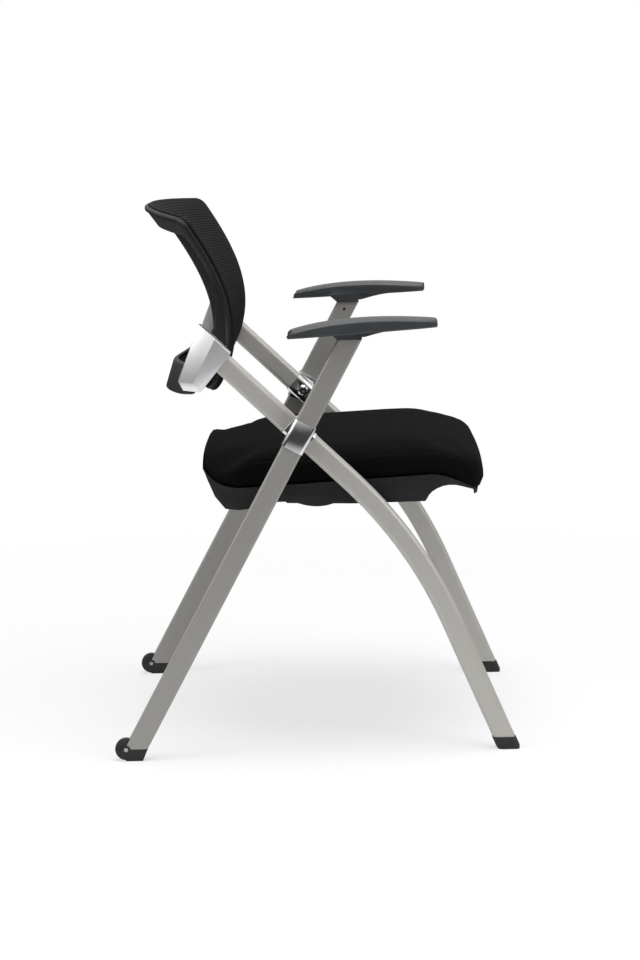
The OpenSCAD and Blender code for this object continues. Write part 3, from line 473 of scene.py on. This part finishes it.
# %% Thin front lip
PAN_REAR, PAN_FRONT = -173.0, 256.0
EDGE_LEVEL, SEAT_SLOPE = 414.5, 0.055
REAR_RISE, REAR_BEND = 39, (-98, -77)
FRONT_FALL, FRONT_BEND = 25, (183.5, 65)
SOLID_LIP, LIP_DROP, LIP_BEND = 10, 7, (165, 80)
CORNER_DROP, CORNER_END, CORNER_SIDE = 9, (-95, -75), (110, 95)
DECK_DEPTH, SIDE_WALL = 6, 212
PROUD, PROUD_BEND = 1.6, (60, 80)


def past(x, start, run):
    """How many runs a place lies past a start. A negative run counts toward the rear."""
    return (x - start) / run


def smooth_step(t):
    """0 up to 0, 1 from 1, and a soft climb between them."""
    t = max(0.0, min(1.0, t))
    return t * t * (3 - 2 * t)


def solid_rim(x):
    """The height of the CAD pan's edge, in millimetres."""
    x = max(PAN_REAR, min(PAN_FRONT, x))
    rise = REAR_RISE * max(0, past(x, *REAR_BEND)) ** 2
    fall = FRONT_FALL * max(0, past(x, *FRONT_BEND)) ** 2
    return EDGE_LEVEL + SEAT_SLOPE * x + rise - fall


def nose_drop(x):
    """How far the finished edge lies below the solid's toward the front."""
    return LIP_DROP * smooth_step(past(x, *LIP_BEND))


def rear_corner(x, y):
    """1 at the two rear corners of the seat, and 0 away from them."""
    return smooth_step(past(x, *CORNER_END)) * smooth_step(past(abs(y), *CORNER_SIDE))


def rim(x, y=0):
    """The height of the finished pan's edge."""
    return solid_rim(x) - nose_drop(x) - CORNER_DROP * rear_corner(x, y)


pan = bpy.data.objects["seat_pan_soft"]
for vert in pan.data.vertices:
    x, y, z = vert.co / MM
    if z > solid_rim(x) - DECK_DEPTH:
        vert.co.z -= (solid_rim(x) - rim(x, y)) * MM
        if abs(y) > SIDE_WALL:
            vert.co.y += math.copysign(PROUD, y) * MM * smooth_step(past(x, *PROUD_BEND))
pan.data.update()
lip = rim(PAN_FRONT) - solid_rim(PAN_FRONT) + SOLID_LIP
print("pan edge at the front", round(rim(PAN_FRONT), 1), "mm high, lip", round(lip, 1), "mm thick")

# %% [markdown]
# ## The shape of the back
# The back is one smooth surface. Its side edge is a Bezier curve seen from the side, and from edge to
# edge the surface is hollowed to the rear, more at the top than at the hips. Every piece of the back
# is laid out on this surface by a share u across, a share v up, and a distance behind it.

# %% Back surface
PIVOT = (-19.0, 494.5)
BACK_LEAN, BACK_RISE = 160, 330
EDGE_SHARES = ((0.769, 0.183), (0.3625, 0.471), (0.623, 0.729), (1, 1))
EDGE = [(PIVOT[0] - BACK_LEAN * a, PIVOT[1] + BACK_RISE * b) for a, b in EDGE_SHARES]
HALF = 225.0
TALL = math.dist(EDGE[0], EDGE[3])
HOLLOW, TOP_BOW, CORNER_RADIUS = 34, 9, 15


def hollow_depth(v):
    """How far the middle of the back lies behind its side edges."""
    return HOLLOW + HOLLOW * v


def back_surface(u, v):
    """A place on the back, in millimetres."""
    w = 1 - v
    parts = (w ** 3, 3 * w * w * v, 3 * w * v * v, v ** 3)
    x, z = (sum(part * place[axis] for part, place in zip(parts, EDGE)) for axis in (0, 1))
    middle = 1 - u * u
    return Vector((x - hollow_depth(v) * middle, HALF * u, z + TOP_BOW * v * v * middle))


def back_normal(u, v):
    """The direction that faces the sitter."""
    e = 0.01
    across = back_surface(u + e, v) - back_surface(u - e, v)
    up = back_surface(u, v + e) - back_surface(u, v - e)
    return across.cross(up).normalized()


def behind(u, v, depth):
    """A place behind the surface, measured level with the sides so that they stay upright."""
    normal = back_normal(u, v)
    return back_surface(u, v) - depth * Vector((normal.x, 0, normal.z)).normalized()


def round_loop(half_x, half_y, rx, ry, side=30, corner=12):
    """Places round a rectangle with round corners, anticlockwise."""
    signs = ((1, 1), (-1, 1), (-1, -1), (1, -1))

    def on_corner(quarter, degrees):
        sx, sy = signs[quarter % 4]
        angle = math.radians(degrees)
        return sx * (half_x - rx) + rx * math.cos(angle), sy * (half_y - ry) + ry * math.sin(angle)

    loop = []
    for quarter in range(4):
        loop += [on_corner(quarter, 90 * quarter + 90 * i / corner) for i in range(corner)]
        start = on_corner(quarter, 90 * quarter + 90)
        end = on_corner(quarter + 1, 90 * quarter + 90)
        for i in range(side):
            t = i / side
            loop.append((start[0] + t * (end[0] - start[0]), start[1] + t * (end[1] - start[1])))
    return loop


def corner_radius(inset):
    """The radius of the back's corners where its outline is drawn in."""
    return max(CORNER_RADIUS - inset, CORNER_RADIUS / 4)


def edge_loop(inset):
    """The outline of the back in u and v, drawn in by some millimetres."""
    r = corner_radius(inset)
    loop = round_loop(1 - inset / HALF, 1 - 2 * inset / TALL, r / HALF, 2 * r / TALL)
    return [(u, 0.5 + 0.5 * v) for u, v in loop]


print("back edge", round(TALL), "mm tall,", len(edge_loop(0)), "places round it")

# %% [markdown]
# A grid is wrapped into a tube by laying each of its rows on a ring of places, and merging the first
# column with the last. The same helper makes the shell here and the start of the cushion later.


# %% Rings joined by a grid
def ring_grid(rings):
    """A grid with one row for each ring, closed round the rings."""
    bed = bmesh.new()
    around = len(rings[0])
    bmesh.ops.create_grid(bed, x_segments=around, y_segments=len(rings) - 1, size=1)
    bed.verts.ensure_lookup_table()
    for vert in bed.verts:
        row, column = divmod(vert.index, around + 1)
        vert.co = Vector(rings[row][column % around]) * MM
    bmesh.ops.remove_doubles(bed, verts=bed.verts, dist=WELD)
    return bed


# %% [markdown]
# ## The shell
# The shell is a hollow nylon frame, moulded in one piece. A round bead runs along its front edge, beside
# the groove that the mesh's carrier sits in, and a side wall reaches back from it to a turned-in lip. It
# is one closed section carried round the outline: each place of the section is a distance inward, a
# distance back, and a share of the side's depth. Along the top the section is shallow and its inner
# lips reach further down, which gives the broad top rail. The back is hollow, so places that lie
# further in would stand further to the rear. They are brought forward again, and the side wall ends
# in a clean edge.

# %% Shell piece
G = 7.6
LIP_INSET, RAIL_EXTRA, RAIL = 15, 9, (0.86, 0.12)
SECTION = ((3.4, G - 3, 1), (3.4, G + 8.4, 0), (2.0, G + 7.8, 0), (0.7, G + 6.4, 0), (0.1, G + 4.6, 0),
           (0.1, G + 2.8, 0), (0.8, G + 1.2, 0), (2.4, G + 0.2, 0), (4, G, 0), (LIP_INSET, G, 0),
           (LIP_INSET, G + 3, 0), (6.4, G + 3, 0), (8.4, G - 4.5, 1), (18, G - 3, 1), (18, G, 1), (6, G, 1))
SIDE_DEPTH, LEAST_DEPTH = 36, 7
FOOT_TRIM, TOP_TRIM = 4.5, 7


def shell_depth(v):
    """How deep the shell's side is: deepest at the hips, drawn in at the top and the foot."""
    foot = min(1, 0.33 + 3.1 * v)
    top = 1 - 0.51 * smooth_step(2 * v - 0.56)
    return SIDE_DEPTH * foot * top - FOOT_TRIM * min(1, 8 * v) - TOP_TRIM * v


rings = []
outer = edge_loop(0)
for inset, back, share in SECTION + SECTION[:1]:
    ring = []
    rail = edge_loop(inset + RAIL_EXTRA)
    for (u, v), (rail_u, rail_v), (edge_u, level) in zip(edge_loop(inset), rail, outer):
        wider = smooth_step(past(level, *RAIL)) if inset >= LIP_INSET else 0
        place = (u + wider * (rail_u - u), v + wider * (rail_v - v))
        back_at = back + share * shell_depth(level)
        if share:
            flush = 0.9 * hollow_depth(level) * (edge_u ** 2 - place[0] ** 2)
            back_at = max(back + LEAST_DEPTH, back_at - flush)
        ring.append(behind(*place, back_at))
    rings.append(ring)
bed = ring_grid(rings)
bmesh.ops.recalc_face_normals(bed, faces=bed.faces)
shell = round_edges(show(bed, "shell_moulding", "front_frame", "black_plastic", "back_shell"), 0.9)
print("shell", len(shell.data.polygons), "faces")

# %% [markdown]
# ## The mesh
# The mesh is stretched over its carrier and wraps round its edge into the groove. A grid gives the
# panel: four of its rows make one knitted rib, and each row is as wide as the outline is there. The
# border is then extruded, each time to the next inset and depth of the wrap. A Solidify modifier gives
# the cloth its thickness.

# %% Mesh panel
PLAIN_EDGES = 14
RIBS = round((TALL - PLAIN_EDGES) / RIB)
ROWS, COLUMNS = 4 * RIBS, 72
RIB_HEIGHT, CLOTH = 0.9, 1.0
PANEL_INSET = 7.2
WRAP = ((4.6, 0.7), (3.0, 1.75), (1.7, 3.2), (1.2, 4.4), (1.2, 5.9))


def row_half(v_mm, inset):
    """Half the panel's width, in millimetres, at a height within the outline of some inset."""
    r = corner_radius(inset)
    low = min(v_mm - inset, TALL - inset - v_mm)
    dip = r - math.sqrt(max(0.0, r * r - max(0.0, r - low) ** 2))
    return HALF - inset - dip


def panel_place(s, t, inset, back, lift=0.0):
    """A place on the mesh from its shares across and up, both from 0 to 1."""
    height = inset + t * (TALL - 2 * inset)
    u = (2 * s - 1) * row_half(height, inset) / HALF
    place = behind(u, height / TALL, back)
    return (place + lift * back_normal(u, height / TALL)) * MM


bed = bmesh.new()
bmesh.ops.create_grid(bed, x_segments=COLUMNS, y_segments=ROWS, size=1)
share = {}
for vert in bed.verts:
    share[vert] = ((vert.co.x + 1) / 2, (vert.co.y + 1) / 2)
    s, t = share[vert]
    calm = min(1, 12 * min(s, 1 - s, t * 1.5, (1 - t) * 1.5))
    rise = RIB_HEIGHT * (0.5 - 0.5 * math.cos(2 * math.pi * t * RIBS)) * calm
    vert.co = panel_place(s, t, PANEL_INSET, 0, rise)


def known_end(vert):
    """The end of a new vertex's edge that was there before the extrusion."""
    return next(edge.other_vert(vert) for edge in vert.link_edges if edge.other_vert(vert) in share)


for inset, back in WRAP:
    border = [edge for edge in bed.edges if edge.is_boundary]
    grown = bmesh.ops.extrude_edge_only(bed, edges=border)["geom"]
    fresh = [item for item in grown if isinstance(item, bmesh.types.BMVert)]
    mates = [known_end(vert) for vert in fresh]
    share.update({vert: share[mate] for vert, mate in zip(fresh, mates)})
    for vert in fresh:
        vert.co = panel_place(*share[vert], inset, back)
layer = bed.loops.layers.uv.new("weave")
for face in bed.faces:
    for loop in face.loops:
        s, t = share[loop.vert]
        loop[layer].uv = ((s - 0.5) * 2 * HALF * MM, t * RIBS * RIB * MM)
bmesh.ops.recalc_face_normals(bed, faces=bed.faces)
middle = min(bed.faces, key=lambda face: (face.calc_center_median() - behind(0, 0.5, 0) * MM).length)
if middle.normal.x < 0:
    bmesh.ops.reverse_faces(bed, faces=bed.faces)
mesh_panel = show(bed, "mesh_panel", "front_frame", "mesh", "back_mesh")
cloth_wall = mesh_panel.modifiers.new("cloth_thickness", "SOLIDIFY")
cloth_wall.thickness = CLOTH * MM
cloth_wall.offset = -1
print("mesh", RIBS, "ribs,", len(mesh_panel.data.polygons), "faces")

# %% [markdown]
# ## The cushion
# A seat cushion is foam under a sewn cover: a top panel, and a side band that is joined to it by a
# seam. It starts as a closed form in rings, a little smaller than the real one. A ring of the profile
# is a share of the outline and a level between the pan's edge and the crown. In front the form bulges
# over the pan's lip, and at the rear its top leans forward.

# %% Cushion start shape
MID, REACH, WIDE, SEAT_CORNER = 46.5, 221.5, 222.0, 62
BOW_X, BOW_Y = 0.025, 0.0125
CROWN, CROWN_AT, EDGE_FALL = 471.8, 150, 8
NOSE_FALL, NOSE_BEND = 26, (143.5, 124.5)
REAR_FALL, REAR_SLOPE = 8, (-20, -150)
HUMP, HUMP_BEND = 4.5, (20, -110)
BULGE, TUCK, BULGE_BEND = 5, 11, (205, 50)
LOW_LEAN, HIGH_LEAN, LEAN_BEND = 3, 9, (-50, -110)
CUSHION_CORNER_DROP, LIFT, LEAST_HEIGHT = 15, 0.9, 12


def crown(x, share=0.0):
    """The height of the cushion's top."""
    fall = NOSE_FALL * max(0, past(x, *NOSE_BEND)) ** 2 + REAR_FALL * max(0, past(x, *REAR_SLOPE)) ** 2
    hump = HUMP * smooth_step(past(x, *HUMP_BEND))
    return CROWN + SEAT_SLOPE * (x - CROWN_AT) + hump - EDGE_FALL * share * share - fall


def seat_loop(share):
    """The cushion's outline, drawn in to a share of its size, and bowed a little between corners."""
    loop = []
    for x, y in round_loop(REACH, WIDE, SEAT_CORNER, SEAT_CORNER, side=24):
        bowed = (x * (1 - BOW_X * (y / WIDE) ** 2), y * (1 - BOW_Y * (x / REACH) ** 2))
        loop.append((MID + share * bowed[0], share * bowed[1]))
    return loop


def bulge(x, share, level):
    """How far the cushion's nose stands out, or tucks in just over the lip."""
    tuck = TUCK * (1 - smooth_step(level / 0.4))
    return (BULGE - tuck) * smooth_step(past(x, *BULGE_BEND)) if share > 0.8 else 0


def lean(x, level):
    """How far the rear of the cushion leans forward."""
    along = LOW_LEAN * smooth_step(level / 0.6) + HIGH_LEAN * smooth_step((level - 0.5) / 0.5)
    return along * smooth_step(past(x, *LEAN_BEND))


PROFILE = ((0.02, 0), (0.3, 0), (0.6, 0), (0.8, 0), (0.9, 0), (0.978, 0), (0.985, 0.06), (0.988, 0.18),
           (0.988, 0.32), (0.986, 0.45), (0.984, 0.6), (0.976, 0.74), (0.958, 0.85), (0.925, 0.93),
           (0.87, 0.972), (0.75, 0.99), (0.5, 0.995), (0.2, 0.995), (0.02, 0.995))
rings = []
for share_in, level in PROFILE:
    ring = []
    for x, y in seat_loop(share_in):
        low = rim(x, y) + LIFT
        high = max(low + LEAST_HEIGHT, crown(x, share_in) - CUSHION_CORNER_DROP * rear_corner(x, y))
        ring.append(Vector((x + bulge(x, share_in, level) + lean(x, level), y, low + level * (high - low))))
    rings.append(ring)
bed = ring_grid(rings)
bmesh.ops.holes_fill(bed, edges=[edge for edge in bed.edges if edge.is_boundary], sides=0)
bmesh.ops.recalc_face_normals(bed, faces=bed.faces)
cushion = show(bed, "cushion_cover", "seat", "seat_fabric", "seat_cushion")
print("cushion starts with", len(cushion.data.polygons), "faces")

# %% [markdown]
# A short cloth simulation blows the form up, so that the cover gets taut, rounded edges and its sides
# pull in between the corners. The part that lies on the pan is pinned, and no point may travel further
# than 6 mm. Foam has no wrinkles, so the way that each point travels is averaged with its neighbours'
# before it is kept. The seam is pressed in afterwards, because the remesh would wipe it out.

# %% Cushion simulation
VOXEL = 5
PRESSURE, STAGES, FURTHEST = 4, 20, 6
PINNED_TO, FREE_AFTER = 3, 9


def bake_modifiers(piece):
    """The piece's mesh with its modifiers in it, and none left on it."""
    graph = bpy.context.evaluated_depsgraph_get()
    solid_mesh = bpy.data.meshes.new_from_object(piece.evaluated_get(graph))
    piece.modifiers.clear()
    piece.data = solid_mesh
    return piece


def even_out(bed, factor, times):
    """Every vertex drawn toward the middle of its neighbours, some times over."""
    for _ in range(times):
        bmesh.ops.smooth_vert(bed, verts=bed.verts, factor=factor,
                              use_axis_x=True, use_axis_y=True, use_axis_z=True)


remesh = cushion.modifiers.new("even_faces", "REMESH")
remesh.mode = "VOXEL"
remesh.voxel_size = VOXEL * MM
bake_modifiers(cushion)
start = [vert.co.copy() for vert in cushion.data.vertices]
held = cushion.vertex_groups.new(name="glued_to_pan")
for vert in cushion.data.vertices:
    x, y, z = vert.co / MM
    above = z - rim(x, y)
    held.add([vert.index], 1 - smooth_step((above - PINNED_TO) / FREE_AFTER), "REPLACE")
puff = cushion.modifiers.new("puff", "CLOTH")
puff.settings.quality = 4
puff.settings.use_pressure = True
puff.settings.uniform_pressure_force = PRESSURE
puff.settings.vertex_group_mass = "glued_to_pan"
puff.settings.effector_weights.gravity = 0
for stage in range(1, STAGES + 1):
    bpy.context.scene.frame_set(stage)
bake_modifiers(cushion)
bpy.context.scene.frame_set(1)
bed = bmesh.new()
bed.from_mesh(cushion.data)
for vert, home in zip(bed.verts, start):
    way = vert.co - home
    vert.co = way.normalized() * min(way.length, FURTHEST * MM)
even_out(bed, 0.7, 30)
moved = max(vert.co.length for vert in bed.verts)
for vert, home in zip(bed.verts, start):
    vert.co += home
bed.to_mesh(cushion.data)
bed.free()
print("cushion swelled by up to", round(moved / MM, 1), "mm")

# %% [markdown]
# The cover's top panel and its side band meet in a seam. It runs just under the top edge, and at
# each front corner it turns down to the lip of the pan, so that the front is one piece with the top.
# It is pressed into the mesh as a narrow valley with soft shoulders.

# %% Cushion seam
GROOVE_DEPTH, GROOVE_HALF, GROOVE_BEND = 1.3, 1.8, (-160, 50)
SEAM_SHARE, SEAM_BEND, SEAM_LIFT, LEAST_BAND = 0.86, (202, 60), 2, 7
STEEP = 0.55


def seam_level(x, y):
    """The height of the seam between the top panel and the side band."""
    share = SEAM_SHARE * (1 - smooth_step(past(x, *SEAM_BEND)))
    return rim(x, y) + SEAM_LIFT + share * max(LEAST_BAND, crown(x, 1) - rim(x, y) - SEAM_LIFT)


bed = bmesh.new()
bed.from_mesh(cushion.data)
bmesh.ops.subdivide_edges(bed, edges=bed.edges, cuts=1, use_grid_fill=True, smooth=0)
even_out(bed, 0.5, 2)
bed.normal_update()
pressed = []
for vert in bed.verts:
    x, y, z = vert.co / MM
    side = 1 - abs(vert.normal.z)
    valley = math.exp(-((z - seam_level(x, y)) / GROOVE_HALF) ** 2)
    groove = GROOVE_DEPTH * valley * smooth_step(3 * side) * smooth_step(past(x, *GROOVE_BEND))
    pressed.append((vert, vert.normal * groove * MM))
for vert, way in pressed:
    vert.co -= way
layer = bed.loops.layers.uv.new("weave")
for face in bed.faces:
    flat = abs(face.normal.z) > STEEP
    wide = abs(face.normal.y) > abs(face.normal.x)
    for loop in face.loops:
        x, y, z = loop.vert.co
        loop[layer].uv = (x, y) if flat else ((x, z) if wide else (y, z))
bed.to_mesh(cushion.data)
bed.free()
cushion.data.shade_smooth()
print("cushion cover", len(cushion.data.polygons), "faces")

# %% [markdown]
# A line of stitches runs just above the seam, in a thread that is as dark as the cover. The thread is
# one closed curve that is laid on the cover and dips under it after every stitch, so that only the
# stitches show.

# %% Stitches
STITCH_STEP = 0.7
STITCH_RISE, STITCH_SINK = 0.45, 0.12
ABOVE_SEAM = 2.8


def stitch_line(name, places, radius=0.35, pitch=4.2):
    """A thread along places on the cushion, in metres, that rises out of it once for every stitch."""
    curve = bpy.data.curves.new(name, "CURVE")
    curve.dimensions = "3D"
    curve.bevel_depth = radius * MM
    curve.bevel_resolution = 1
    spline = curve.splines.new("POLY")
    spline.use_cyclic_u = True
    points = []
    run = 0.0
    for here, there in zip(places, places[1:] + places[:1]):
        gap = (there - here).length
        steps = max(1, round(gap / (STITCH_STEP * MM)))
        for i in range(steps):
            _, spot, normal, _ = cushion.closest_point_on_mesh(here.lerp(there, i / steps))
            phase = 2 * math.pi * (run + gap * i / steps) / (pitch * MM)
            lift = STITCH_RISE * math.tanh(2.2 * math.cos(phase))
            points.append(spot + normal * (lift - STITCH_SINK) * MM)
        run += gap
    spline.points.add(len(points) - 1)
    for target, place in zip(spline.points, points):
        target.co = (*place, 1)
    thread = bpy.data.objects.new(name, curve)
    bpy.context.collection.objects.link(thread)
    mesh = bpy.data.meshes.new_from_object(thread.evaluated_get(bpy.context.evaluated_depsgraph_get()))
    bpy.data.objects.remove(thread)
    return show(mesh, name, "seat", "seat_fabric", finish=finishes["thread"])


twine, tree = new_material("bonded_polyester_thread")
colour = tint(tree, spread(tree, grain(tree, 0.5), 0, 1), "#060607", "#0c0c0d")
surface(tree, Base_Color=colour, Roughness=0.7, Specular_IOR_Level=0.15)
finishes["thread"] = twine
ring = [Vector((x, y, seam_level(x, y) + ABOVE_SEAM)) * MM for x, y in seat_loop(0.98)]
stitches = stitch_line("seam_stitches", ring)
print("stitches", len(stitches.data.polygons), "faces")

# %% [markdown]
# In the end the view transform is set to Standard.

# %% Finish
bpy.context.scene.view_settings.view_transform = "Standard"
